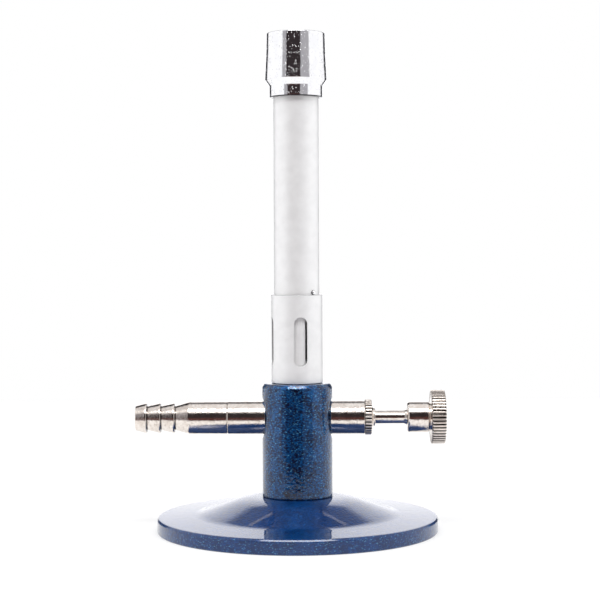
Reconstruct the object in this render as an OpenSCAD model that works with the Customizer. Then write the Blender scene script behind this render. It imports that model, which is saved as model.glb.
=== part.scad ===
// Bench gas burner with an air-regulating sleeve, a screw-down needle valve,
// a barbed hose nozzle and a flared flame-retention cup.
// Millimetres, +Z up. The origin is the centre of the underside of the foot,
// the burner tube stands on the Z axis, the hose nozzle points to -X and the
// valve knob to +X.

/* [Foot] */
// Diameter of the round cast foot
foot_d = 88; // [84:0.5:96]
// Height of the foot's upright edge, up to where its top face starts
foot_edge_h = 4.65; // [4.2:0.05:5.6]
// Diameter of the circle where the dome rises out of the flat rim
dome_d = 62.6; // [56:0.2:66]
// Height of the seat that the column stands on
seat_z = 10.84; // [10:0.02:12]

/* [Column] */
// Diameter of the column
column_d = 22; // [20:0.1:24]
// Height of the column's top face above the bench
column_top_z = 46.4; // [45.6:0.1:47]
// Height of the gas passage through the column
gas_axis_z = 35.5; // [34.6:0.1:36]
// Depth of the round spot faces that the two fittings seat on
spot_depth = 1; // [0.6:0.05:1.2]
// Diameter of the spot faces
spot_d = 12.4; // [11.8:0.1:13]

/* [Burner tube] */
// Outer diameter of the burner tube
tube_d = 14.2; // [13.8:0.1:14.6]
// Bore of the burner tube
tube_bore_d = 10.6; // [10:0.1:11]
// Height of the tube's open end
tube_top_z = 152.8; // [140:0.2:160]
// Number of air ports in the tube, and of slots in the sleeve
port_count = 4; // [3:1:4]
// Direction of the first air port, from the front towards the knob
port_turn = 38.2; // [30:0.2:44]

/* [Air sleeve] */
// Outer diameter of the air sleeve
sleeve_d = 16.1; // [15.9:0.1:17]
// Height of the sleeve's top edge
sleeve_top_z = 74; // [72:0.1:74]
// Width of the air slots
slot_w = 4.1; // [3:0.1:4.4]
// Length of the air slots, end to end
slot_l = 15.2; // [10:0.1:16]
// Height of the middle of the air slots
slot_z = 59.5; // [58:0.1:61]
// Direction of the first sleeve slot, from the front towards the knob
slot_turn = 8.6; // [0:0.2:20]

/* [Flame cup] */
// Height of the cup's mouth
cup_top_z = 155.5; // [155:0.1:160]
// Diameter of the cup at its mouth
cup_mouth_d = 18.2; // [17.8:0.1:19]
// Largest diameter of the cup, low down
cup_belly_d = 19.2; // [19:0.1:20]
// Diameter of the neck that grips the tube
cup_neck_d = 16.5; // [16:0.1:17]

/* [Hose nozzle] */
// Distance of the nozzle's tip from the burner's axis
nozzle_reach = 50.7; // [49:0.1:56]
// Diameter over the barbs
barb_d = 9.4; // [9.2:0.1:9.8]
// Diameter at the foot of each barb
barb_root_d = 7.5; // [7.2:0.1:7.8]
// Bore of the nozzle
nozzle_bore_d = 5.2; // [4:0.1:5.4]

/* [Valve] */
// Diameter of the bare valve spindle
spindle_d = 4.1; // [3.6:0.1:4.2]
// Distance of the knob's outer face from the burner's axis
knob_reach = 46.2; // [45:0.1:50]
// Diameter of the knurled knob
knob_d = 16.8; // [15:0.1:20]
// Width of the knurled rim
knob_w = 4.3; // [3:0.1:5]
// Number of ridges round the knob
knob_ridges = 48; // [36:2:60]
// Number of ridges round the gland nut
nut_ridges = 30; // [24:2:36]

/* [Hidden] */
$fn = 96;

foot_r = foot_d / 2;
column_r = column_d / 2;
spot_x = column_r - spot_depth;      // where the fittings' shoulders seat
tube_r = tube_d / 2;
tube_bore_r = tube_bore_d / 2;
socket_z = 42;                       // floor of the tube's socket
thread_r = 6.2;                      // the tube's screwed end
seat_x = -1.5;                       // edge of the valve seat
nozzle_joint_x = -21.85;             // seam between nozzle and adapter
nut_x = 21.2;                        // shoulder of the gland nut
hub_x = 34.4;                        // inner end of the knob's hub
blue = [0.07, 0.19, 0.42];
nickel = [0.80, 0.76, 0.72];
brass = [0.80, 0.64, 0.30];
white = [0.92, 0.92, 0.92];
chrome = [0.88, 0.88, 0.90];
steel = [0.62, 0.63, 0.65];
black = [0.08, 0.08, 0.09];
ptfe = [0.93, 0.93, 0.90];
fibre = [0.55, 0.18, 0.12];

// Points of an arc, and of a three-point curve
function arc(c, r, a0, a1, n = 6) =
    [for (i = [0:n]) let (a = a0 + (a1 - a0) * i / n) [c[0] + r * cos(a), c[1] + r * sin(a)]];
function bend(p0, p1, p2, n = 8) =
    [for (i = [0:n]) let (t = i / n) (1 - t) * (1 - t) * p0 + 2 * t * (1 - t) * p1 + t * t * p2];
// Outline of a straight knurl with n ridges, r over the ridges
function knurl(r, depth, n) =
    [for (i = [0:n - 1], k = [0:3])
        let (a = (i + [-0.13, 0.13, 0.42, 0.58][k]) * 360 / n, q = [r, r, r - depth, r - depth][k])
        [q * cos(a), q * sin(a)]];

module lathe(points) rotate_extrude(angle = 360) polygon(points);
// Turns a shape made round Z so that its Z runs along +X on the gas axis
module along_x() translate([0, 0, gas_axis_z]) rotate([0, 90, 0]) children();
// Runs a shape out along -Y turned by a towards +X, so 0 is the front
module facing(a) rotate([0, 0, a]) rotate([90, 0, 0]) children();
// Upright slot with round ends, cut outwards from the axis
module slot_cut(w, l, reach) {
    for (s = [-1, 1]) translate([0, s * (l - w) / 2, 0]) cylinder(d = w, h = reach);
    translate([-w / 2, -(l - w) / 2, 0]) cube([w, l - w, reach]);
}
module hexagon(across_flats, h) cylinder(r = across_flats / 2 / cos(30), h = h, $fn = 6);

// Cast foot: flat rim, dome and a hollow underside with the screw's boss
module base() {
    r = foot_r;
    e = foot_edge_h;
    d = dome_d / 2;
    s = seat_z;
    color(blue) difference() {
        lathe(concat(
            [[3.3, 5.5], [9, 5.5], [9.6, 6.2], [13, 6.4], [20, 5.6], [30, 2.9], [37.4, 2.5], [38, 0], [r - 0.5, 0]],
            arc([r - 0.5, 0.5], 0.5, -90, 0, 4),
            arc([r - 0.85, e - 0.85], 0.85, 0, 86, 6),
            bend([d + 2.4, e + 0.62], [d, e + 0.76], [d - 2.4, e + 1.59], 5),
            bend([20, s - 1.5], [15.6, s], [11.4, s], 8),
            [[3.3, s]]));
    }
}

// Pan-head machine screw that pulls the column down on the foot
module base_screw() color(steel) difference() {
    lathe([[0, 0.7], [4.1, 0.7], [4.9, 1.3], [5.2, 2.2], [5.2, 4.1], [2.95, 4.1], [2.95, 21.4], [2.3, 22.2], [0, 22.2]]);
    for (a = [0, 90]) rotate([0, 0, a]) translate([-2.9, -0.45, 0]) cube([5.8, 0.9, 2.6]);
}

// Split spring washer under its head
module base_lock_washer() color(steel) difference() {
    lathe([[3.1, 4.1], [5.1, 4.1], [5.1, 5.5], [3.1, 5.5]]);
    rotate([0, 0, 40]) translate([2.5, -0.25, 3.6]) cube([3.4, 0.5, 2.4]);
}

// Painted column: gas passage across it, tube socket and jet seat on top
module column() {
    r = column_r;
    t = column_top_z;
    color(blue) difference() {
        lathe(concat([[0, seat_z], [r - 0.35, seat_z], [r, seat_z + 0.35]],
                     arc([r - 1.3, t - 1.3], 1.3, 0, 90, 7), [[0, t]]));
        // spot faces
        along_x() {
            translate([0, 0, spot_x]) cylinder(d = spot_d, h = 5);
            translate([0, 0, -spot_x - 5]) cylinder(d = spot_d, h = 5);
        }
        // fitting bores, valve chamber, seat and inlet passage
        along_x() {
            translate([0, 0, 4.5]) cylinder(r = 4, h = 10);
            translate([0, 0, -14.5]) cylinder(r = 4, h = 10);
            translate([0, 0, seat_x]) cylinder(r = 2.9, h = 6.2);
            translate([0, 0, -3]) cylinder(r = 1, h = 2);
            translate([0, 0, -4.6]) cylinder(r = 2.4, h = 1.7);
        }
        // way up to the jet, jet thread and tube socket
        translate([0, 0, gas_axis_z]) cylinder(r = 1.6, h = 4);
        translate([0, 0, 38.4]) cylinder(r = 2.5, h = 4);
        translate([0, 0, socket_z]) cylinder(r = thread_r + 0.03, h = 6);
        // tapped hole for the foot's screw
        translate([0, 0, seat_z - 1]) cylinder(r = 3, h = 13);
    }
}

// Inlet fitting screwed into the column's left side
module inlet_adapter() color(nickel) along_x() mirror([0, 0, 1]) lathe([
    [2.4, 4.6], [3.98, 4.6], [3.98, spot_x], [5.0, spot_x], [5.15, spot_x + 0.15],
    [5.15, 21.6], [4.95, 21.8], [3.62, 21.8], [3.62, 15.5], [2.4, 15.5]]);

// Flat seal in the adapter, against the nozzle's end
module nozzle_seal() color(black) along_x() mirror([0, 0, 1])
    lathe([[2.5, 15.55], [3.55, 15.55], [3.55, 16.25], [2.5, 16.25]]);

// Barbed nozzle for rubber tubing
module hose_nozzle() {
    tip = nozzle_reach;
    b = barb_d / 2;
    q = barb_root_d / 2;
    m = nozzle_bore_d / 2;
    color(nickel) along_x() mirror([0, 0, 1]) lathe(concat(
        [[m, 16.3], [3.58, 16.3], [3.58, 21.85], [4.85, 21.85], [5.05, 22.05], [5.05, 33.9], [4.93, 34.8],
         [q + 0.08, 38.2], [q, 38.32]],
        [for (x = [38.32, 42.68, 47.04]) each [[b - 0.12, x], [b, x + 0.1], [b, x + 0.55],
            [x > 46 ? q + 0.25 : q + 0.05, x > 46 ? tip - 0.55 : x + 4.2],
            [x > 46 ? q - 0.1 : q, x > 46 ? tip - 0.12 : x + 4.36]]],
        [[q - 0.4, tip], [m + 0.35, tip], [m, tip - 0.35]]));
}

// Valve fitting screwed into the column's right side
module valve_bonnet() color(nickel) along_x() lathe([
    [2.55, 4.6], [3.98, 4.6], [3.98, spot_x], [4.9, spot_x], [5.2, spot_x + 0.5], [5.2, nut_x - 0.3],
    [5.05, nut_x - 0.1], [4.02, nut_x - 0.1], [4.02, 17.4], [3.1, 17.4], [3.1, 10.6], [2.55, 10.6]]);

// Knurled gland nut that keeps the spindle in
module gland_nut() color(nickel) along_x() difference() {
    union() {
        translate([0, 0, 17.45]) cylinder(r = 3.98, h = nut_x - 17.45 + 0.5);
        intersection() {
            translate([0, 0, nut_x]) linear_extrude(height = 2.05) polygon(knurl(5.5, 0.34, nut_ridges));
            lathe([[0, nut_x], [5.25, nut_x], [5.5, nut_x + 0.3], [5.5, nut_x + 1.7], [5.15, nut_x + 2.05], [0, nut_x + 2.05]]);
        }
        lathe([[0, nut_x + 1], [3.3, nut_x + 2.05], [2.9, nut_x + 2.3], [2.85, nut_x + 2.95], [2.55, nut_x + 3.2], [0, nut_x + 3.2]]);
    }
    translate([0, 0, 17]) cylinder(r = spindle_d / 2 + 0.06, h = 10);
}

// Slippery washer between the spindle's shoulder and the nut
module gland_washer() color(ptfe) along_x()
    lathe([[spindle_d / 2 + 0.08, 16.85], [3.05, 16.85], [3.05, 17.4], [spindle_d / 2 + 0.08, 17.4]]);

// O-ring in the spindle's groove: it travels with the spindle without turning
module stem_o_ring() color(black) along_x() rotate_extrude(angle = 360) translate([2.425, 12.7]) circle(r = 0.65, $fn = 40);

// Spindle: needle point, screw, O-ring groove, bare shank and knob seat
module valve_stem() color(nickel) along_x() lathe([
    [0, -2.9], [0.3, -2.7], [0.94, seat_x], [1.55, -0.2], [1.6, 0], [1.6, 4.7], [2.3, 4.9], [2.5, 5.2], [2.5, 10], [1.95, 10.3],
    [1.95, 11], [3.02, 11], [3.02, 11.8], [1.75, 11.8], [1.75, 13.6], [3.02, 13.6], [3.02, 14.4], [spindle_d / 2, 14.4],
    [spindle_d / 2, hub_x - 0.9], [spindle_d / 2 + 0.14, hub_x - 0.5], [spindle_d / 2 + 0.4, hub_x - 0.05], [1.98, hub_x - 0.05],
    [1.98, hub_x + 9.4], [1.7, hub_x + 9.8], [0, hub_x + 9.8]]);

// Knurled knob with its hub
module valve_knob() {
    disc_x = knob_reach - knob_w;
    k = knob_d / 2;
    color(nickel) along_x() difference() {
        union() {
            lathe(concat([[0, hub_x]], arc([4.8 - 0.7, hub_x + 0.7], 0.7, -90, 0, 4),
                [[4.8, disc_x - 1.1], [4.35, disc_x - 0.55], [4.35, disc_x + 0.2], [0, disc_x + 0.2]]));
            intersection() {
                translate([0, 0, disc_x]) linear_extrude(height = knob_w) polygon(knurl(k, 0.42, knob_ridges));
                lathe([[0, disc_x], [k - 0.35, disc_x], [k, disc_x + 0.35], [k, knob_reach - 0.45],
                       [k - 0.45, knob_reach], [k - 2.2, knob_reach], [k - 2.5, knob_reach - 0.3], [0, knob_reach - 0.3]]);
            }
        }
        translate([0, 0, hub_x - 1]) cylinder(r = 2, h = 11);
        // grub screw's hole, out of the hub's back
        translate([0, 0, hub_x + 3.4]) rotate([-90, 0, 0]) cylinder(r = 1.5, h = 6);
    }
}

// Grub screw that locks the knob on the spindle
module knob_grub_screw() color(steel) along_x() translate([0, 0, hub_x + 3.4]) rotate([-90, 0, 0]) difference() {
    lathe([[0, 2.02], [0.9, 2.02], [1.46, 2.5], [1.46, 4.3], [1.3, 4.45], [0, 4.45]]);
    translate([0, 0, 3.2]) hexagon(1.5, 3);
}

// Gas jet: screwed shank, hexagon and tapered nose with its orifice
module gas_jet() color(brass) difference() {
    union() {
        translate([0, 0, 38.6]) cylinder(r = 2.46, h = 4.4);
        intersection() {
            translate([0, 0, 42.45]) hexagon(7, 2.75);
            lathe([[0, 42], [4.2, 42], [4.2, 44.8], [3.8, 45.2], [0, 45.2]]);
        }
        lathe([[0, 45], [2.6, 45], [2.6, 46.6], [1.5, 50.2], [1.2, 50.5], [0, 50.5]]);
    }
    translate([0, 0, 38]) cylinder(r = 1.3, h = 10.6);
    translate([0, 0, 48.5]) cylinder(r = 0.45, h = 3);
}

// Sealing washer under the jet's hexagon
module jet_washer() color(fibre) lathe([[2.55, 42.03], [4.3, 42.03], [4.3, 42.42], [2.55, 42.42]]);

// Burner tube: screwed end, air ports, pin hole and pilot ports
module barrel() color(white) difference() {
    lathe([[5.5, socket_z + 0.5], [thread_r - 0.2, socket_z + 0.5], [thread_r, socket_z + 0.8], [thread_r, column_top_z],
           [tube_r, column_top_z], [tube_r, tube_top_z - 0.25], [tube_r - 0.25, tube_top_z],
           [tube_bore_r + 0.25, tube_top_z], [tube_bore_r, tube_top_z - 0.25], [tube_bore_r, 72.5], [5.5, 72]]);
    for (i = [0:port_count - 1]) facing(port_turn + i * 360 / port_count)
        translate([0, slot_z, 3]) slot_cut(slot_w, slot_l, 6);
    facing(45) translate([0, 74.75, 4]) cylinder(r = 0.69, h = 6, $fn = 32);
    for (i = [0:5]) facing(i * 60) translate([0, 142.2, 4]) cylinder(r = 0.5, h = 6, $fn = 24);
}

// Pin that keeps the sleeve down
module collar_stop_pin() color(chrome) facing(45) translate([0, 74.75, 0])
    lathe([[0, 5.5], [0.53, 5.5], [0.65, 5.65], [0.65, tube_r + 0.4], [0.56, tube_r + 0.6], [0.33, tube_r + 0.72], [0, tube_r + 0.76]]);

// Air sleeve: turns on the tube to cover or open its ports
module air_collar() color(white) difference() {
    z0 = column_top_z + 0.1;
    r = sleeve_d / 2;
    lathe([[tube_r + 0.06, z0], [r - 0.2, z0], [r, z0 + 0.2], [r, sleeve_top_z - 0.25], [r - 0.25, sleeve_top_z], [tube_r + 0.06, sleeve_top_z]]);
    for (i = [0:port_count - 1]) facing(slot_turn + i * 360 / port_count)
        translate([0, slot_z, 5]) slot_cut(slot_w, slot_l, 6);
}

// Flame cup: the neck grips the tube, the flared bowl shelters the pilot flames
module flame_stabilizer() {
    m = cup_mouth_d / 2;
    b = cup_belly_d / 2;
    n = cup_neck_d / 2;
    t = cup_top_z;
    color(chrome) lathe(concat(
        [[tube_r + 0.02, 135.6], [tube_r + 0.35, 135.45], [n - 0.6, 135.45]],
        arc([n - 0.6, 135.95], 0.5, -90, 0, 3),
        [[n, 137.2], [n + 0.02, 138.8], [n + 0.16, 139.3], [n + 0.8, 140.3]],
        arc([b - 1, 141.5], 1, -42, 4, 5),
        [[b - 0.08, 144], [m + 0.14, 149.5], [m, t - 0.4]],
        arc([m - 0.4, t - 0.4], 0.4, 0, 180, 6),
        [[m - 0.75, 149.5], [b - 0.85, 143.1], [b - 1.05, 142.1], [n + 0.05, 140.75], [tube_r + 0.5, 140.3], [tube_r + 0.02, 140.1]]));
}

base();
base_screw();
base_lock_washer();
column();
inlet_adapter();
nozzle_seal();
hose_nozzle();
valve_bonnet();
gland_nut();
gland_washer();
stem_o_ring();
valve_stem();
valve_knob();
knob_grub_screw();
gas_jet();
jet_washer();
barrel();
collar_stop_pin();
air_collar();
flame_stabilizer();
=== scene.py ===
import math

import bmesh
import bpy
from mathutils import Matrix, Vector


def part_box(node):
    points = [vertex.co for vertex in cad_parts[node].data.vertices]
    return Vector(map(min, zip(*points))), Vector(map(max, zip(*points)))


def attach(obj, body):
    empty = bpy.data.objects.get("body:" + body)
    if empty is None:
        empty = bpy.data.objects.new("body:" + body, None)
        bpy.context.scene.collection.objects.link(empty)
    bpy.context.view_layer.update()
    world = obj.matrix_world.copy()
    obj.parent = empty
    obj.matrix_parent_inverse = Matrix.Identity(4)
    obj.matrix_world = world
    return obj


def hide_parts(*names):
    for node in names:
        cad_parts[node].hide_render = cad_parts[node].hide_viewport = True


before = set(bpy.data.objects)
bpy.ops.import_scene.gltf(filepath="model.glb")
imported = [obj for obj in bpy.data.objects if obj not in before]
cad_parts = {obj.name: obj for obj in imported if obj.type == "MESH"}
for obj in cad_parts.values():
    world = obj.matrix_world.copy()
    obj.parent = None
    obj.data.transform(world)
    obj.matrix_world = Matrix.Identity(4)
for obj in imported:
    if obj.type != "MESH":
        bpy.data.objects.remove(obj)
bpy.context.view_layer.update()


scene = bpy.context.scene
MM = 0.001


def cad(node):
    """Lowest and highest corner of a CAD node, in millimetres."""
    lo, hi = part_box(node)
    return [c / MM for c in lo], [c / MM for c in hi]


# ---------------------------------------------------------------- camera
cam_data = bpy.data.cameras.new("camera")
cam_data.sensor_width = 36.0
cam_data.lens = 96.0
cam_data.clip_start = 0.01
cam_data.clip_end = 20.0
cam = bpy.data.objects.new("camera", cam_data)
scene.collection.objects.link(cam)
cam.matrix_world = (
    Matrix.Translation((0.0010, -0.5010, 0.0861))
    @ Matrix.Rotation(math.radians(90.0 - 1.575), 4, "X")
    @ Matrix.Rotation(math.radians(-0.25), 4, "Z")
)
scene.camera = cam

# ---------------------------------------------------------------- node helpers


class Net:
    """A node tree with short calls for the sums a procedural material needs."""

    def __init__(self, tree):
        self.t = tree
        tree.nodes.clear()

    def node(self, kind, **props):
        n = self.t.nodes.new(kind)
        for k, v in props.items():
            setattr(n, k, v)
        return n

    def put(self, socket, value):
        if isinstance(value, bpy.types.NodeSocket):
            self.t.links.new(value, socket)
        elif value is not None:
            socket.default_value = value

    def math(self, op, a, b=None, c=None, clamp=False):
        n = self.node("ShaderNodeMath", operation=op, use_clamp=clamp)
        for s, v in zip(n.inputs, (a, b, c)):
            self.put(s, v)
        return n.outputs[0]

    def step(self, value, lo, hi, out_lo=0.0, out_hi=1.0, smooth=True):
        n = self.node("ShaderNodeMapRange", interpolation_type="SMOOTHSTEP" if smooth else "LINEAR")
        n.clamp = True
        for s, v in zip(n.inputs, (value, lo, hi, out_lo, out_hi)):
            self.put(s, v)
        return n.outputs[0]

    def band(self, value, lo, hi, soft):
        up = self.step(value, lo - soft, lo + soft)
        down = self.step(value, hi - soft, hi + soft, 1.0, 0.0)
        return self.math("MULTIPLY", up, down)

    def mix(self, fac, a, b):
        n = self.node("ShaderNodeMix", data_type="RGBA", blend_type="MIX")
        n.clamp_factor = True
        self.put(n.inputs["Factor"], fac)
        self.put(n.inputs[6], a if not isinstance(a, tuple) else (*a, 1.0))
        self.put(n.inputs[7], b if not isinstance(b, tuple) else (*b, 1.0))
        return n.outputs[2]

    def noise(self, vector, scale, detail=2.0, rough=0.5, distortion=0.0):
        n = self.node("ShaderNodeTexNoise", noise_dimensions="3D")
        self.put(n.inputs["Vector"], vector)
        n.inputs["Scale"].default_value = scale
        n.inputs["Detail"].default_value = detail
        n.inputs["Roughness"].default_value = rough
        n.inputs["Distortion"].default_value = distortion
        return n.outputs["Fac"]

    def voronoi(self, vector, scale, feature="F1", smooth=0.3):
        n = self.node("ShaderNodeTexVoronoi", voronoi_dimensions="3D", feature=feature)
        self.put(n.inputs["Vector"], vector)
        n.inputs["Scale"].default_value = scale
        if feature == "SMOOTH_F1":
            n.inputs["Smoothness"].default_value = smooth
        return n

    def bump(self, height, strength, distance, normal=None):
        n = self.node("ShaderNodeBump")
        n.inputs["Strength"].default_value = strength
        n.inputs["Distance"].default_value = distance
        self.put(n.inputs["Height"], height)
        if normal is not None:
            self.put(n.inputs["Normal"], normal)
        return n.outputs["Normal"]

    def scaled(self, vector, scale):
        n = self.node("ShaderNodeMapping")
        self.put(n.inputs["Vector"], vector)
        n.inputs["Scale"].default_value = scale
        return n.outputs["Vector"]


def material(name):
    m = bpy.data.materials.new(name)
    m.use_nodes = True
    net = Net(m.node_tree)
    out = net.node("ShaderNodeOutputMaterial")
    bsdf = net.node("ShaderNodeBsdfPrincipled")
    net.put(out.inputs["Surface"], bsdf.outputs[0])
    place = net.node("ShaderNodeTexCoord").outputs["Object"]
    return m, net, bsdf, place


# ---------------------------------------------------------------- materials
def make_enamel(name, relief, ripple, flecks_and_glint, metallic, dark, light):
    """Deep blue metallic enamel under a clear gloss. relief and ripple set how strongly it is hammered. Its light
    flecks follow the paint's flakes, and are partly painted glint: strong on upright faces, faint on upward-facing
    ones.
    """
    m, n, b, p = material(name)
    cloud = n.noise(p, 260.0, 3.0, 0.6)
    fine = n.noise(n.scaled(p, (1300.0, 1300.0, 2300.0)), 1.0, 3.0, 0.65)
    cell = n.voronoi(p, 1150.0, "SMOOTH_F1", 0.4)
    flake = n.voronoi(n.scaled(p, (1300.0, 1300.0, 2600.0)), 1.0)
    tone = n.math("ADD", n.math("MULTIPLY", cloud, 0.3), n.math("MULTIPLY", fine, 0.7))
    base = n.mix(n.step(tone, 0.40, 0.62), dark, light)
    fleck_glint = n.step(flake.outputs["Distance"], 0.16, 0.42, 1.0, 0.0)
    fleck_glint = n.math("MULTIPLY", fleck_glint, n.step(fine, 0.46, 0.60))
    upward = n.node("ShaderNodeSeparateXYZ")
    n.put(upward.inputs[0], n.node("ShaderNodeNewGeometry").outputs["Normal"])
    # partly painted glint: the flecks are drawn strong on upright faces and fade out on upward-facing ones
    level = n.step(upward.outputs[2], 0.55, 0.85, flecks_and_glint, 0.05)
    base = n.mix(n.math("MULTIPLY", fleck_glint, level), base, (0.14, 0.41, 0.58))
    n.put(b.inputs["Base Color"], base)
    b.inputs["Metallic"].default_value = metallic
    b.inputs["Specular IOR Level"].default_value = 0.15
    n.put(b.inputs["Roughness"], n.step(fine, 0.3, 0.7, 0.30, 0.42))
    height = n.math("ADD", n.math("MULTIPLY", cell.outputs["Distance"], -0.8), n.math("MULTIPLY", fine, 1.1))
    n.put(b.inputs["Normal"], n.bump(height, relief, 0.00020))
    b.inputs["Coat Weight"].default_value = 1.0
    b.inputs["Coat Roughness"].default_value = 0.03
    b.inputs["Coat IOR"].default_value = 1.47
    peel = n.math("ADD", n.math("MULTIPLY", cell.outputs["Distance"], -0.6), n.math("MULTIPLY", n.noise(p, 620.0, 2.0, 0.5), 0.8))
    n.put(b.inputs["Coat Normal"], n.bump(peel, ripple, 0.00012))
    return m


def make_nickel(name, grooved=False):
    """Warm nickel plate with faint turning marks, fine pits and hazy patches, and painted shade that darkens it down
    in a knurl's grooves.
    """
    m, n, b, p = material(name)
    haze = n.noise(p, 420.0, 4.0, 0.65)
    rings = n.noise(n.scaled(p, (2600.0, 60.0, 60.0)), 1.0, 3.0, 0.6)
    grain = n.noise(p, 1500.0, 3.0, 0.75)
    tint = n.mix(n.step(haze, 0.35, 0.68), (0.78, 0.70, 0.635), (0.91, 0.85, 0.795))
    tint = n.mix(n.step(grain, 0.52, 0.66, 0.0, 0.4), tint, (0.42, 0.33, 0.27))
    if grooved:
        # painted shade: the colour goes nearly black where the mesh marks shade, down in a knurl's grooves and on the
        # barbs' steps
        groove = n.node("ShaderNodeAttribute", attribute_name="groove").outputs["Fac"]
        tint = n.mix(n.step(groove, 0.06, 0.42), tint, (0.022, 0.014, 0.011))
    n.put(b.inputs["Base Color"], tint)
    b.inputs["Metallic"].default_value = 1.0
    rough = n.math("ADD", n.step(haze, 0.3, 0.75, 0.06, 0.13), n.step(grain, 0.45, 0.75, 0.0, 0.12))
    if grooved:
        rough = n.math("ADD", rough, n.math("MULTIPLY", n.node("ShaderNodeAttribute", attribute_name="ridge").outputs["Fac"], 0.32))
    n.put(b.inputs["Roughness"], rough)
    n.put(b.inputs["Normal"], n.bump(n.math("ADD", n.math("MULTIPLY", rings, 0.5), n.math("MULTIPLY", grain, 2.4)), 0.33, 0.00005))
    return m


def make_satin():
    """Very pale satin metal, turned, with faint rings round it."""
    m, n, b, p = material("satin_tube_metal")
    rings = n.noise(n.scaled(p, (40.0, 40.0, 3200.0)), 1.0, 3.0, 0.6)
    cloud = n.noise(p, 300.0, 3.0, 0.55)
    groove = n.node("ShaderNodeAttribute", attribute_name="groove").outputs["Fac"]
    base = n.mix(n.step(cloud, 0.3, 0.7), (0.91, 0.91, 0.912), (0.96, 0.96, 0.962))
    # painted shade: the colour goes dark grey where the mesh marks shade, on slot walls and along a sleeve's top edge
    base = n.mix(n.step(groove, 0.2, 0.9), base, (0.10, 0.10, 0.105))
    n.put(b.inputs["Base Color"], base)
    b.inputs["Metallic"].default_value = 0.30
    n.put(b.inputs["Roughness"], n.math("ADD", n.step(rings, 0.3, 0.75, 0.46, 0.56), n.step(cloud, 0.3, 0.7, -0.02, 0.02)))
    n.put(b.inputs["Normal"], n.bump(rings, 0.12, 0.00002))
    b.inputs["Coat Weight"].default_value = 0.7
    b.inputs["Coat Roughness"].default_value = 0.12
    b.inputs["Coat IOR"].default_value = 1.4
    return m


def make_chrome():
    """Bright mirror plate, slightly wavy from spinning and polishing."""
    m, n, b, p = material("bright_plate")
    wave = n.noise(n.scaled(p, (420.0, 420.0, 260.0)), 1.0, 2.0, 0.5)
    pit = n.noise(p, 2400.0, 2.0, 0.6)
    groove = n.node("ShaderNodeAttribute", attribute_name="groove").outputs["Fac"]
    tint = n.mix(n.step(wave, 0.3, 0.7), (0.90, 0.90, 0.92), (0.96, 0.96, 0.97))
    # painted shade: the colour goes nearly black where the mesh marks shade, round the pin's foot and under the cup's
    # neck
    n.put(b.inputs["Base Color"], n.mix(n.step(groove, 0.2, 0.8), tint, (0.03, 0.03, 0.035)))
    b.inputs["Metallic"].default_value = 1.0
    n.put(b.inputs["Roughness"], n.step(pit, 0.35, 0.8, 0.03, 0.07))
    dots = n.voronoi(p, 2000.0)
    speck = n.math("MULTIPLY", n.step(dots.outputs["Distance"], 0.12, 0.34, 1.0, 0.0), n.step(n.noise(p, 900.0, 2.0, 0.6), 0.45, 0.53))
    n.put(b.inputs["Normal"], n.bump(n.math("ADD", n.math("MULTIPLY", wave, 1.1), n.math("MULTIPLY", speck, 1.9)), 0.50, 0.00005))
    return m


def make_metal(name, dark, light, rough, scale=900.0):
    m, n, b, p = material(name)
    grain = n.noise(p, scale, 3.0, 0.6)
    n.put(b.inputs["Base Color"], n.mix(n.step(grain, 0.3, 0.7), dark, light))
    b.inputs["Metallic"].default_value = 1.0
    n.put(b.inputs["Roughness"], n.step(grain, 0.3, 0.75, rough, rough + 0.14))
    n.put(b.inputs["Normal"], n.bump(grain, 0.15, 0.00003))
    return m


def make_dull(name, dark, light, rough, scale=1200.0):
    m, n, b, p = material(name)
    grain = n.noise(p, scale, 3.0, 0.6)
    n.put(b.inputs["Base Color"], n.mix(n.step(grain, 0.3, 0.7), dark, light))
    n.put(b.inputs["Roughness"], n.step(grain, 0.3, 0.75, rough, min(1.0, rough + 0.2)))
    n.put(b.inputs["Normal"], n.bump(grain, 0.2, 0.00004))
    return m


ENAMEL = make_enamel("blue_enamel", 0.5, 0.04, 0.5, 0.15, (0.0001, 0.017, 0.085), (0.0004, 0.042, 0.185))
HAMMERED = make_enamel("blue_hammered_enamel", 0.8, 0.35, 0.8, 0.92, (0.0002, 0.006, 0.036), (0.0010, 0.096, 0.310))
NICKEL = make_nickel("nickel_plate")
KNURLED = make_nickel("knurled_nickel_plate", True)
SATIN = make_satin()
CHROME = make_chrome()
BRASS = make_metal("jet_brass", (0.62, 0.43, 0.16), (0.84, 0.66, 0.32), 0.20)
STEEL = make_metal("zinc_steel", (0.50, 0.50, 0.51), (0.70, 0.71, 0.72), 0.28)
RUBBER = make_dull("seal_rubber", (0.012, 0.012, 0.013), (0.03, 0.03, 0.032), 0.6)
PTFE = make_dull("white_ptfe", (0.80, 0.80, 0.77), (0.90, 0.90, 0.88), 0.35)
FIBRE = make_dull("red_fibre", (0.28, 0.05, 0.03), (0.46, 0.11, 0.07), 0.6)

# ---------------------------------------------------------------- mesh helpers


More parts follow.
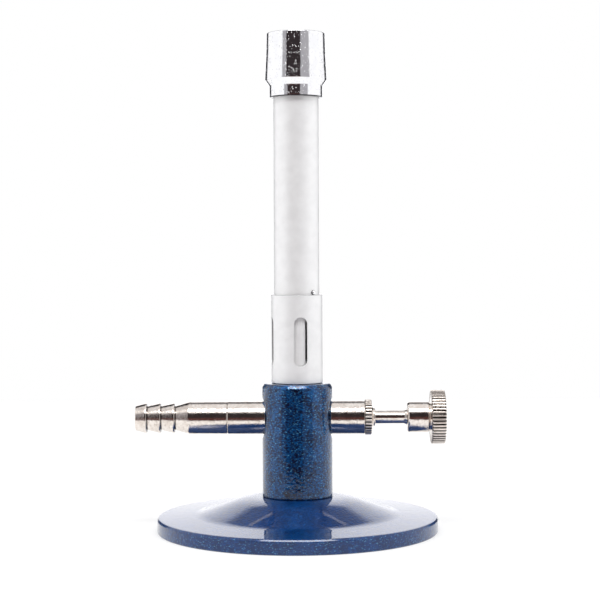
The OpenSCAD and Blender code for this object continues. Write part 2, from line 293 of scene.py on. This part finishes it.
def rounded(points, support=0.14):
    """Closed outline (r, h, corner radius) with true arcs in its corners, and extra points that keep long faces flat."""
    out = []
    n = len(points)
    for i in range(n):
        p1 = points[i]
        a = Vector(points[i - 1][:2]) - Vector(p1[:2])
        b = Vector(points[(i + 1) % n][:2]) - Vector(p1[:2])
        rad = p1[2] if len(p1) > 2 else 0.0
        if rad <= 0 or a.length < 1e-9 or b.length < 1e-9:
            out.append(Vector(p1[:2]))
            continue
        la, lb = a.length, b.length
        a.normalize()
        b.normalize()
        ang = math.acos(max(-1.0, min(1.0, a.dot(b))))
        if ang > math.pi - 0.04:
            out.append(Vector(p1[:2]))
            continue
        t = min(rad / math.tan(ang / 2), 0.47 * la, 0.47 * lb)
        rad = t * math.tan(ang / 2)
        c = Vector(p1[:2]) + (a + b).normalized() * (rad / math.sin(ang / 2))
        s = Vector(p1[:2]) + a * t - c
        e = Vector(p1[:2]) + b * t - c
        a0 = math.atan2(s.y, s.x)
        d = (math.atan2(e.y, e.x) - a0 + math.pi) % (2 * math.pi) - math.pi
        k = max(2, math.ceil(abs(d) / math.radians(13)))
        for q in range(k + 1):
            g = a0 + d * q / k
            out.append(c + Vector((rad * math.cos(g), rad * math.sin(g))))
    full = []
    n = len(out)
    for i in range(n):
        p, q = out[i], out[(i + 1) % n]
        full.append(p)
        length = (q - p).length
        if length > 3.2 * support:
            full.append(p + (q - p) * (support / length))
            full.append(q - (q - p) * (support / length))
    clean = []
    for p in full:
        if not clean or (p - clean[-1]).length > 1e-5:
            clean.append(p)
    if (clean[0] - clean[-1]).length < 1e-5:
        clean.pop()
    area = sum(
        clean[i].x * clean[(i + 1) % len(clean)].y - clean[(i + 1) % len(clean)].x * clean[i].y
        for i in range(len(clean))
    )
    if area < 0:
        clean.reverse()
    return clean


UP = Matrix.Identity(4)
ALONG_X = Matrix.Translation((0, 0, 35.5)) @ Matrix.Rotation(math.radians(90), 4, "Y")


def facing(azimuth, z):
    """Local +Z points out from the burner's axis: 0 is the front, 90 the knob's side."""
    return (
        Matrix.Translation((0, 0, z))
        @ Matrix.Rotation(math.radians(azimuth), 4, "Z")
        @ Matrix.Rotation(math.radians(90), 4, "X")
    )


def piece(name, verts, faces, mat, body, node, matrix=UP, flip_check=True):
    me = bpy.data.meshes.new(name)
    me.from_pydata([matrix @ Vector(v) * MM for v in verts], [], faces)
    bm = bmesh.new()
    bm.from_mesh(me)
    bmesh.ops.remove_doubles(bm, verts=bm.verts, dist=1e-8)
    if flip_check:
        bmesh.ops.recalc_face_normals(bm, faces=bm.faces)
    for f in bm.faces:
        f.smooth = True
    bm.to_mesh(me)
    bm.free()
    me.materials.append(mat)
    ob = bpy.data.objects.new(name, me)
    scene.collection.objects.link(ob)
    if body:
        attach(ob, body)
    if node:
        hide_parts(node)
    return ob


def spin(profile, n, radius=None, start=0.0, angles=None):
    """Vertices and faces of a closed outline turned about local Z. radius(i, j, r) may shape each point."""
    verts, index = [], []
    count = len(angles) if angles else n
    for i, p in enumerate(profile):
        if p.x < 1e-6:
            index.append([len(verts)] * count)
            verts.append((0.0, 0.0, p.y))
            continue
        row = []
        for j in range(count):
            g = angles[j] if angles else start + 2 * math.pi * j / n
            r = radius(i, j, p.x) if radius else p.x
            row.append(len(verts))
            verts.append((r * math.cos(g), r * math.sin(g), p.y))
        index.append(row)
    faces = []
    m = len(profile)
    for i in range(m):
        a, b = index[i], index[(i + 1) % m]
        for j in range(count):
            k = (j + 1) % count
            q = [a[j], a[k], b[k], b[j]]
            q = [v for t, v in enumerate(q) if v not in q[:t]]
            if len(q) > 2:
                faces.append(q)
    return verts, faces, index


def lathe(name, points, mat, body, node, matrix=UP, n=192, support=0.14):
    verts, faces, _ = spin(rounded(points, support), n)
    return piece(name, verts, faces, mat, body, node, matrix)


def knurled(name, points, marks, ridges, depth, body, node, matrix):
    """A turned piece whose rows named in marks, by their height range and least radius, carry straight ridges."""
    profile = rounded(points, 0.12)
    shape = [(0.0, 0.0), (0.15, 0.0), (0.25, 0.06), (0.33, 0.45), (0.41, 0.94), (0.5, 1.0), (0.59, 0.94), (0.67, 0.45), (0.75, 0.06), (0.85, 0.0)]
    angles = [2 * math.pi * (i + p) / ridges for i in range(ridges) for p, _ in shape]

    def radius(i, j, r):
        h = profile[i].y
        for lo, hi, least, full in marks:
            if lo <= h <= hi and r > least:
                share = min(1.0, (r - least) / (full - least))
                return r - depth * share * shape[j % len(shape)][1]
        return r

    verts, faces, _ = spin(profile, 0, radius, angles=angles)
    ob = piece(name, verts, faces, KNURLED, body, node, matrix)
    # painted shade: darkest at the bottom of each groove between two ridges
    dark = ob.data.attributes.new("groove", "FLOAT", "POINT")
    worn = ob.data.attributes.new("ridge", "FLOAT", "POINT")
    back = matrix.inverted()
    for v in ob.data.vertices:
        q = back @ (v.co / MM)
        turn = (math.atan2(q.y, q.x) / (2 * math.pi) * ridges) % 1.0
        inside = any(lo - 0.01 <= q.z <= hi + 0.01 and math.hypot(q.x, q.y) > least - 0.02 for lo, hi, least, full in marks)
        dark.data[v.index].value = max(0.0, 1.0 - abs(turn - 0.5) / 0.27) if inside else 0.0
        worn.data[v.index].value = 1.0 if inside else 0.0
    return ob


def bezier(p0, p1, p2, n):
    return [
        tuple((1 - t) ** 2 * a + 2 * t * (1 - t) * b + t * t * c for a, b, c in zip(p0, p1, p2))
        for t in (i / n for i in range(n + 1))
    ]


def slotted(name, points, r_out, r_in, slot_z, slot_w, slot_l, first, mat, body, node, edge=0.13, rim=None):
    """A turned tube with four upright round-ended slots through its wall, their edges softened, with painted shade on
    the slots' walls and, when rim is given, a painted shade line along the top edge.
    """
    profile = rounded(points, 0.16)
    half_w, straight = slot_w / 2, (slot_l - slot_w) / 2
    tall = slot_l / 2 + 1.5
    rows = 44
    cols = 24                      # columns that a slot's patch spans, of 2 degrees each
    zs = [slot_z - tall + 2 * tall * k / rows for k in range(rows + 1)]
    spans = {}

    def splice(radius_wanted, key):
        for i in range(len(profile)):
            p, q = profile[i], profile[(i + 1) % len(profile)]
            if abs(p.x - radius_wanted) < 1e-4 and abs(q.x - radius_wanted) < 1e-4 and min(p.y, q.y) < zs[0] and max(p.y, q.y) > zs[-1]:
                line = [Vector((radius_wanted, z)) for z in (zs if p.y < q.y else reversed(zs))]
                profile[i + 1:i + 1] = line
                spans[key] = (i + 1, p.y < q.y)
                return
        raise RuntimeError(f"{name}: no wall of radius {radius_wanted} spans its slots")

    splice(r_out, "out")
    splice(r_in, "in")
    # the second splice may have moved the first one's rows
    for key, rad in (("out", r_out), ("in", r_in)):
        for i, p in enumerate(profile):
            if abs(p.x - rad) < 1e-4 and abs(p.y - (zs[0] if spans[key][1] else zs[-1])) < 1e-6:
                spans[key] = (i, spans[key][1])
                break
    total = 180
    start = math.radians(first - 90.0) - math.radians(cols)
    verts, faces, index = spin(profile, total, start=start)
    holes = set()
    for key in ("out", "in"):
        i0 = spans[key][0]
        for k in range(4):
            for i in range(i0, i0 + rows):
                for j in range(45 * k, 45 * k + cols):
                    a, b = index[i], index[i + 1]
                    holes.add(frozenset((a[j % total], a[(j + 1) % total], b[(j + 1) % total], b[j % total])))
    faces = [f for f in faces if frozenset(f) not in holes]

    def outline(u, v, grow):
        """The slot's edge, grown outwards, in the direction of patch point (u, v)."""
        w = half_w + grow
        if abs(v) <= straight:
            return (w if u > 0 else -w), v
        s = 1 if v > 0 else -1
        g = math.atan2(v - s * straight, u)
        return w * math.cos(g), s * straight + w * math.sin(g)

    for k in range(4):
        centre = math.radians(first - 90.0 + 90.0 * k)
        ring = {}
        for key, rad in (("out", r_out), ("in", r_in)):
            i0, upward = spans[key]

            def at(row, col, i0=i0, upward=upward):
                i = i0 + (row if upward else rows - row)
                return index[i][(45 * k + col) % total]

            path = [(0, c) for c in range(cols)] + [(r, cols) for r in range(rows)]
            path += [(rows, c) for c in range(cols, 0, -1)] + [(r, 0) for r in range(rows, 0, -1)]
            ring[key] = [(at(r, c), rad * math.radians(2.0 * c - cols), zs[r] - slot_z) for r, c in path]
        loops = [[v for v, _, _ in ring["out"]]]

        def add(rad, grow, blend=1.0, key="out"):
            loop = []
            for v, u, z in ring[key]:
                big = rad if key == "out" else r_in
                scale_u = u * (r_out / r_in if key == "in" else 1.0)
                ou, oz = outline(scale_u, z, grow)
                theta_edge = math.asin(max(-1.0, min(1.0, ou / rad)))
                theta = (1 - blend) * (u / big if key == "in" else u / r_out) + blend * theta_edge
                zz = (1 - blend) * z + blend * oz
                loop.append(len(verts))
                verts.append((rad * math.cos(centre + theta), rad * math.sin(centre + theta), slot_z + zz))
            loops.append(loop)

        for t in (0.34, 0.62, 0.84):
            add(r_out, edge, t)
        for q in range(6):
            g = math.radians(18.0 * q)
            add(r_out - edge * (1 - math.cos(g)), edge * (1 - math.sin(g)))
        for q in range(6):
            g = math.radians(18.0 * q)
            add(r_in + edge * (1 - math.sin(g)), edge * (1 - math.cos(g)), key="in")
        for t in (0.84, 0.62, 0.34):
            add(r_in, edge, t, "in")
        loops.append([v for v, _, _ in ring["in"]])
        for a, b in zip(loops, loops[1:]):
            for j in range(len(a)):
                i2 = (j + 1) % len(a)
                faces.append([a[j], a[i2], b[i2], b[j]])
    ob = piece(name, verts, faces, mat, body, node)
    # painted shade: a slot's walls are darkened in colour, as they would lie in shade
    shade = ob.data.attributes.new("groove", "FLOAT", "POINT")
    for v in ob.data.vertices:
        q = v.co / MM
        inside = abs(q.z - slot_z) < slot_l / 2 + edge + 0.01 and math.hypot(q.x, q.y) > r_in + 0.02
        shade.data[v.index].value = max(0.0, min(1.0, (r_out - 0.03 - math.hypot(q.x, q.y)) / 0.22)) if inside else 0.0
        # painted shade: a grey line along the top edge, where the sleeve meets the tube
        if rim is not None:
            shade.data[v.index].value = max(shade.data[v.index].value, max(0.0, min(0.62, (q.z - rim + 0.17) / 0.1)))
    return ob


def carve(ob, cutters):
    """Cuts closed meshes out of a piece and keeps the result as its mesh."""
    for c in cutters:
        mod = ob.modifiers.new("cut", "BOOLEAN")
        mod.operation = "DIFFERENCE"
        mod.solver = "EXACT"
        mod.object = c
    bpy.context.view_layer.update()
    cut = bpy.data.meshes.new_from_object(ob.evaluated_get(bpy.context.evaluated_depsgraph_get()))
    ob.modifiers.clear()
    ob.data = cut
    cut.set_sharp_from_angle(angle=math.radians(38))
    for c in cutters:
        bpy.data.objects.remove(c)


def cutter(points, matrix, n=64):
    verts, faces, _ = spin(rounded(points, 5.0), n)
    return piece("cutter", verts, faces, HAMMERED, None, None, matrix)


# ---------------------------------------------------------------- foot
base_lo, base_hi = cad("base")
FOOT_R = base_hi[0]
SEAT = base_hi[2]
EDGE = 4.65
DOME = 31.3


def make_base():
    top = bezier((DOME + 1.5, EDGE + 0.66), (DOME, EDGE + 0.74), (DOME - 1.5, EDGE + 1.27), 12)
    top += bezier((20.0, SEAT - 1.5), (15.6, SEAT), (11.4, SEAT), 16)
    points = [(3.3, 5.5, 0.3), (9.0, 5.5, 0.3), (9.6, 6.2, 0.3), (13.0, 6.4, 2.0), (20.0, 5.6, 4.0), (30.0, 2.9, 4.0), (37.2, 2.5, 1.0), (38.0, 0.0, 0.5)]
    points += [(FOOT_R, 0.0, 0.5), (FOOT_R, EDGE - 0.72, 0.4), (FOOT_R - 0.42, EDGE - 0.1, 0.2), (FOOT_R - 0.9, EDGE, 0.3)]
    points += top + [(3.3, SEAT, 0.4)]
    profile = []
    for p in points:
        profile.append(p)
    ob = lathe("foot_casting", profile, ENAMEL, "burner", "base", n=288, support=0.3)
    return ob


make_base()


# ---------------------------------------------------------------- column
def make_column():
    r = 11.0
    top = cad("column")[1][2]
    spot_x, spot_r, axis_z = 10.0, 6.2, 35.5
    points = [(3.0, SEAT, 0.2), (r, SEAT, 0.32), (r, top - 1.25, 0.7), (r - 0.66, top - 0.17, 0.35), (r - 1.3, top, 0.5), (6.23, top, 0.25), (6.23, 42.0, 0.1), (2.5, 42.0, 0.1),
              (2.5, 38.4), (1.6, 38.2), (1.6, 35.5), (0.0, 35.5), (0.0, 22.9), (3.0, 22.84)]
    profile = rounded(points, 0.3)
    for i in range(len(profile)):
        p, q = profile[i], profile[(i + 1) % len(profile)]
        if abs(p.x - r) < 1e-4 and abs(q.x - r) < 1e-4 and abs(p.y - q.y) > 20:
            zs = [12.5 + 1.9 * k for k in range(8)] + [27.6 + 0.16 * k for k in range(100)] + [43.8]
            zs = [z for z in zs if p.y + 0.1 < z < q.y - 0.1]
            profile[i + 1:i + 1] = [Vector((r, z)) for z in zs]
            break
    verts, faces, _ = spin(profile, 400)
    out = []
    for x, y, z in verts:
        if abs(math.hypot(x, y) - r) < 1e-3 and abs(z - axis_z) < spot_r + 1.0:
            rho = math.hypot(y, z - axis_z)
            inside = (spot_r + 0.35 - rho) / 0.9
            if inside > 0 and abs(x) > spot_x:
                t = min(1.0, inside)
                t = t * t * (3 - 2 * t)
                # the paint fills the corner of the recess a little
                x = math.copysign(abs(x) + (spot_x - abs(x)) * t, x)
        out.append((x, y, z))
    ob = piece("column_casting", out, faces, HAMMERED, "burner", "column")
    cuts = [
        cutter([(0, 4.5), (4.0, 4.5), (4.0, 12.0), (0, 12.0)], ALONG_X),
        cutter([(0, -12.0), (4.0, -12.0), (4.0, -4.5), (0, -4.5)], ALONG_X),
        cutter([(0, -4.6), (2.4, -4.6), (2.4, -3.0), (1.0, -3.0), (1.0, -1.5), (2.9, -1.5), (2.9, 4.6), (0, 4.6)], ALONG_X),
    ]
    carve(ob, cuts)
    return ob


make_column()

# ---------------------------------------------------------------- left fittings
tip = -cad("hose_nozzle")[0][0]

lathe("inlet_adapter_body", [
    (2.4, -4.6, 0.1), (3.98, -4.6, 0.2), (3.98, -10.0, 0.05), (5.15, -10.0, 0.15), (5.15, -21.82, 0.22), (3.62, -21.82, 0.15),
    (3.62, -15.5, 0.05), (2.4, -15.5, 0.1)], NICKEL, "burner", "inlet_adapter", ALONG_X, 192)


def make_nozzle():
    b, q = 4.7, 3.75
    points = [(2.6, -16.3, 0.15), (3.58, -16.3, 0.2), (3.58, -21.88, 0.05), (5.08, -21.88, 0.24), (5.08, -33.9, 1.5), (4.2, -36.8, 2.0),
              (q, -38.3, 0.12)]
    for x in (38.42, 42.78):
        points += [(b - 0.04, -x, 0.13), (b, -x - 0.42, 0.3), (q + 0.02, -x - 4.28, 0.10)]
    points += [(b - 0.04, -47.14, 0.13), (b, -47.56, 0.3), (q + 0.12, -tip + 0.1, 0.25), (q - 0.35, -tip, 0.2), (2.6, -tip, 0.35)]
    ob = lathe("hose_nozzle_body", points, KNURLED, "burner", "hose_nozzle", ALONG_X, 192, 0.10)
    # painted shade: the barbs' steps are darkened in colour, as they would lie in shade
    shade = ob.data.attributes.new("groove", "FLOAT", "POINT")
    for v in ob.data.vertices:
        x, r = -v.co.x / MM, math.hypot(v.co.y / MM, v.co.z / MM - 35.5)
        near = max((1.0 if abs(x - e) < 0.1 else 0.0) for e in (38.38, 38.42, 42.74, 42.78, 47.1, 47.14)) if x > 37 and r > 3 else 0.0
        shade.data[v.index].value = 0.5 * near * max(0.0, min(1.0, (4.62 - r) / 0.15))


make_nozzle()

# ---------------------------------------------------------------- valve side
lathe("valve_bonnet_body", [
    (2.55, 4.6, 0.1), (3.98, 4.6, 0.2), (3.98, 10.0, 0.05), (4.85, 10.0, 0.1), (5.22, 10.55, 0.25), (5.22, 21.1, 0.18), (4.02, 21.1, 0.1),
    (4.02, 17.4, 0.1), (3.1, 17.4, 0.05), (3.1, 10.6, 0.05), (2.55, 10.6, 0.05)], NICKEL, "burner", "valve_bonnet", ALONG_X, 192)

nut_hi = cad("gland_nut")[1][0]
knurled("gland_nut_body", [
    (2.11, 17.45, 0.1), (3.98, 17.45, 0.15), (3.98, 21.22, 0.05), (5.5, 21.22, 0.28), (5.5, 23.22, 0.30), (4.9, 23.30, 0.3), (3.5, 23.42, 0.5), (2.85, 23.8, 0.4),
    (2.85, nut_hi - 0.02, 0.3), (2.11, nut_hi - 0.02, 0.12)], [(21.2, 23.3, 5.0, 5.3)], 30, 0.34, "burner", "gland_nut", ALONG_X)

hub_x = cad("valve_knob")[0][0]
knob_x = cad("valve_knob")[1][0]
stem_end = cad("valve_stem")[1][0]
lathe("valve_spindle", [
    (0.0, -2.9), (0.3, -2.7, 0.1), (0.94, -1.5, 0.1), (1.55, -0.2, 0.1), (1.6, 0.0, 0.1), (1.6, 4.7, 0.1), (2.5, 5.2, 0.1), (2.5, 10.0, 0.1), (1.95, 10.3, 0.1),
    (1.95, 11.0, 0.05), (3.02, 11.0, 0.1), (3.02, 11.8, 0.1), (1.75, 11.8, 0.1), (1.75, 13.6, 0.1), (3.02, 13.6, 0.1), (3.02, 14.4, 0.1), (2.05, 14.4, 0.05),
    (2.05, hub_x - 1.0, 0.8), (2.45, hub_x - 0.06, 0.05), (1.98, hub_x - 0.06, 0.02), (1.98, stem_end - 0.3, 0.2), (1.6, stem_end, 0.2), (0.0, stem_end)],
    NICKEL, "valve", "valve_stem", ALONG_X, 128)


def make_knob():
    disc, k = knob_x - 4.3, 8.4
    points = [(2.0, hub_x, 0.12), (4.8, hub_x, 0.75), (4.8, disc - 0.95, 0.35), (4.32, disc - 0.45, 0.35), (4.35, disc, 0.12), (k, disc, 0.32),
              (k, knob_x, 0.42), (k - 2.2, knob_x, 0.25), (k - 2.6, knob_x - 0.3, 0.25), (0.0, knob_x - 0.3), (0.0, hub_x + 10.0), (2.0, hub_x + 10.0, 0.2)]
    ob = knurled("valve_knob_body", points, [(disc - 0.01, knob_x + 0.01, k - 0.75, k - 0.2)], 48, 0.42, "valve", "valve_knob", ALONG_X)
    # the grub screw's hole, out of the hub's back
    out = ALONG_X @ Matrix.Translation((0, 0, hub_x + 3.4)) @ Matrix.Rotation(math.radians(-90), 4, "X")
    carve(ob, [cutter([(0, 1.0), (1.5, 1.0), (1.5, 6.0), (0, 6.0)], out, 48)])


make_knob()

# ---------------------------------------------------------------- tube, sleeve, pin and cup
tube_top = cad("barrel")[1][2]
shoulder = cad("column")[1][2]
tube = slotted("burner_tube", [
    (5.5, 42.5, 0.1), (6.2, 42.5, 0.25), (6.2, shoulder, 0.05), (7.1, shoulder, 0.1), (7.1, tube_top, 0.25), (5.3, tube_top, 0.25), (5.3, 72.5, 0.4), (5.5, 72.0, 0.4)],
    7.1, 5.5, 59.5, 4.1, 15.2, 38.2, SATIN, "burner", "barrel", edge=0.1)
PIN_Z = 74.75
carve(tube, [cutter([(0, 4), (0.69, 4), (0.69, 9), (0, 9)], facing(45, PIN_Z), 40)]
      + [cutter([(0, 4), (0.5, 4), (0.5, 9), (0, 9)], facing(60 * i, 142.2), 32) for i in range(6)])
sleeve_lo, sleeve_hi = cad("air_collar")
slotted("air_sleeve_body", [
    (7.16, sleeve_lo[2], 0.1), (8.05, sleeve_lo[2], 0.2), (8.05, sleeve_hi[2], 0.18), (7.16, sleeve_hi[2], 0.1)],
    8.05, 7.16, 59.5, 4.1, 15.2, 8.6, SATIN, "air_sleeve", "air_collar", edge=0.13, rim=sleeve_hi[2])
pin = lathe("sleeve_stop_pin", [(0, 5.5), (0.65, 5.5, 0.12), (0.65, 7.84, 0.42), (0, 7.86)], CHROME, "burner", "collar_stop_pin", facing(45, PIN_Z), 48, 0.06)
# painted shade: a dark ring round the pin's shank where it leaves the tube
shade = pin.data.attributes.new("groove", "FLOAT", "POINT")
for v in pin.data.vertices:
    shade.data[v.index].value = max(0.0, min(1.0, (7.62 - math.hypot(v.co.x, v.co.y) / MM) / 0.12))

CUP = cad("flame_stabilizer")[1][2]
cup = lathe("flame_cup", [
    (7.12, 135.6, 0.1), (7.5, 135.45, 0.1), (8.25, 135.45, 0.45), (8.26, 139.05, 0.5), (9.66, 140.95, 0.75), (9.5, 144.2, 6.0), (9.24, 149.5, 6.0), (9.1, CUP, 0.38),
    (8.3, CUP, 0.38), (8.36, 149.5, 2.0), (8.74, 142.9, 0.9), (8.3, 140.8, 0.6), (7.6, 140.3, 0.3), (7.12, 140.1, 0.1)], CHROME, "burner", "flame_stabilizer", UP, 224)
# painted shade under the neck's edge, where the cup meets the tube
shade = cup.data.attributes.new("groove", "FLOAT", "POINT")
for v in cup.data.vertices:
    shade.data[v.index].value = max(0.0, min(1.0, (135.86 - v.co.z / MM) / 0.2))

# ---------------------------------------------------------------- carried-over CAD nodes
for node, mat in {
    "base_screw": STEEL, "base_lock_washer": STEEL, "knob_grub_screw": STEEL, "gas_jet": BRASS, "jet_washer": FIBRE,
    "nozzle_seal": RUBBER, "stem_o_ring": RUBBER, "gland_washer": PTFE,
}.items():
    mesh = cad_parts[node].data
    mesh.materials.clear()
    mesh.materials.append(mat)

# ---------------------------------------------------------------- floor
floor_mat, fn, fb, fp = material("pale_floor")
fb.inputs["Base Color"].default_value = (0.36, 0.36, 0.36, 1.0)
fb.inputs["Roughness"].default_value = 1.0
fb.inputs["Specular IOR Level"].default_value = 0.0
fb.inputs["Emission Color"].default_value = (1.0, 1.0, 1.0, 1.0)
fb.inputs["Emission Strength"].default_value = 0.62
bm = bmesh.new()
sheet = [(-0.45, -0.12), (0.45, -0.12), (0.45, 0.45), (-0.45, 0.45)]
bm.faces.new([bm.verts.new((x, y, -0.00002)) for x, y in sheet])
me = bpy.data.meshes.new("floor")
bm.to_mesh(me)
bm.free()
me.materials.append(floor_mat)
floor = bpy.data.objects.new("floor", me)
scene.collection.objects.link(floor)

# ---------------------------------------------------------------- studio
world = bpy.data.worlds.new("studio")
scene.world = world
world.use_nodes = True
n = Net(world.node_tree)
direction = n.node("ShaderNodeTexCoord").outputs["Generated"]
sep = n.node("ShaderNodeSeparateXYZ")
n.put(sep.inputs[0], direction)
az = n.math("MULTIPLY", n.math("ARCTAN2", sep.outputs[0], n.math("MULTIPLY", sep.outputs[1], -1.0)), 180.0 / math.pi)
el = n.math("MULTIPLY", n.math("ARCSINE", n.math("MAXIMUM", n.math("MINIMUM", sep.outputs[2], 1.0), -1.0)), 180.0 / math.pi)
side = n.math("ABSOLUTE", az)


def area(a, b):
    return n.math("MULTIPLY", a, b)


sky = n.mix(0.0, (0.55, 0.55, 0.57), (0, 0, 0))
# white sheet behind, darker above it
sky = n.mix(area(n.band(side, 146, 400, 4), n.band(el, 20, 62, 5)), sky, (0.20, 0.20, 0.21))
sky = n.mix(area(n.band(side, 150, 400, 5), n.band(el, -100, 32, 4)), sky, (1.46, 1.46, 1.50))
# soft boxes at both sides
sky = n.mix(area(n.band(side, 52, 134, 4), n.band(el, -100, 58, 5)), sky, (1.08, 1.08, 1.09))
sky = n.mix(area(n.band(side, 138, 163, 2.0), n.band(el, -60, 56, 5)), sky, (0.03, 0.03, 0.035))
# the room on the camera's side, above a white floor
sky = n.mix(area(n.band(side, -1, 52, 3), n.band(el, -100, 40, 4)), sky, (0.42, 0.41, 0.43))
sky = n.mix(area(n.band(az, -37, 18, 2.5), n.band(el, -100, 40, 3)), sky, (0.035, 0.028, 0.030))
sky = n.mix(area(n.band(az, -37, 18, 2.5), n.band(el, -24, 3, 4)), sky, (0.105, 0.045, 0.040))
sky = n.mix(area(n.band(side, -1, 56, 3), n.band(el, -120, -21, 3)), sky, (1.0, 0.99, 0.98))
# soft box overhead, and the strong light in it above the camera
sky = n.mix(n.step(el, 60, 66), sky, (0.95, 0.95, 0.97))
sky = n.mix(area(n.band(side, -1, 52, 3), n.band(el, 40, 64, 3)), sky, (1.05, 1.05, 1.06))
sky = n.mix(area(n.band(side, -1, 42, 3), n.band(el, 52, 64, 2)), sky, (12.0, 12.0, 12.0))
reflected = n.node("ShaderNodeBackground")
n.put(reflected.inputs[0], sky)
reflected.inputs[1].default_value = 1.0
seen = n.node("ShaderNodeBackground")
seen.inputs[0].default_value = (1.0, 1.0, 1.0, 1.0)
seen.inputs[1].default_value = 1.0
pick = n.node("ShaderNodeMixShader")
n.put(pick.inputs[0], n.node("ShaderNodeLightPath").outputs["Is Camera Ray"])
n.put(pick.inputs[1], reflected.outputs[0])
n.put(pick.inputs[2], seen.outputs[0])
out = n.node("ShaderNodeOutputWorld")
n.put(out.inputs[0], pick.outputs[0])

scene.view_settings.view_transform = "Standard"
scene.view_settings.look = "None"
